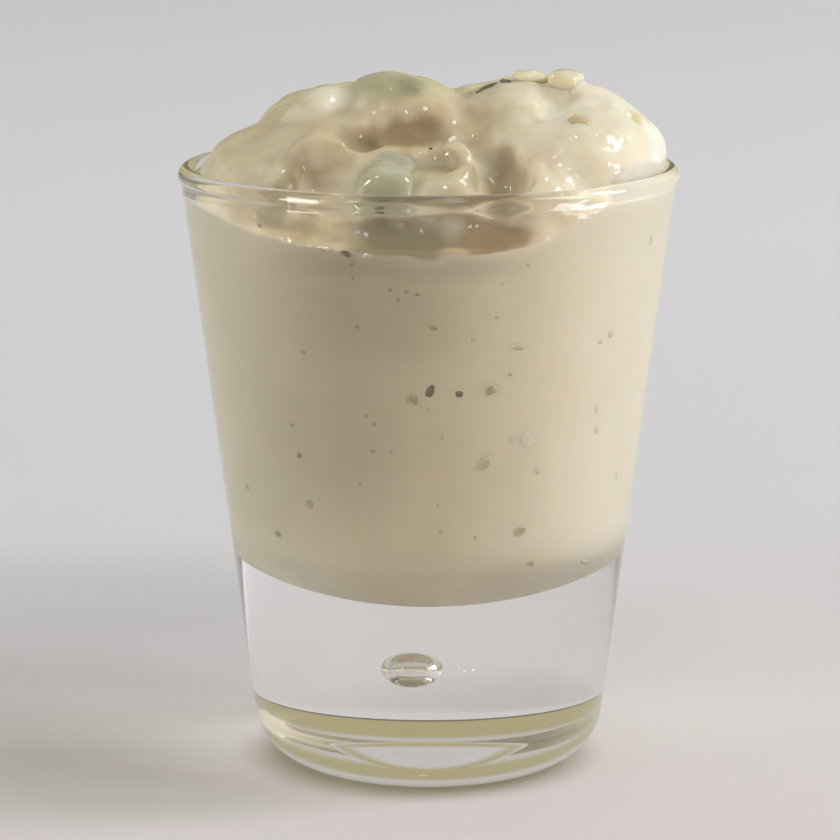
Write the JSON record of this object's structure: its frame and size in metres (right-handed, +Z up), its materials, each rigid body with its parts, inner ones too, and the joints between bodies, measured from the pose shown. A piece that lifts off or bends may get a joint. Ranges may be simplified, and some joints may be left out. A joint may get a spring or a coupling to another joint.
{
  "type": "glass of tartar sauce",
  "caption": "Small tapered heavy-based clear glass filled with pale tartar-style sauce, heaped in soft folds above the rim, with diced gherkin showing in it.",
  "frame": {"origin": "centre of the foot ring, on the surface the glass stands on", "axes": "+Z up along the glass's axis, -Y to the front, where the sauce dips below the rim and the front gherkin piece shows, +X to the right"},
  "size_m": [0.0602, 0.0602, 0.0847],
  "materials": {
    "clear_glass": "clear colourless pressed glass, smooth, fire-polished rim",
    "sauce": "thick ivory mayonnaise-based sauce with a wet gloss, herb and caper specks",
    "gherkin": "pale grey-green pickled gherkin, wet and slightly translucent"
  },
  "bodies": {
    "root": {"glass": "clear_glass", "sauce": "sauce", "gherkin_front": "gherkin", "gherkin_top": "gherkin"}
  },
  "joints": []
}
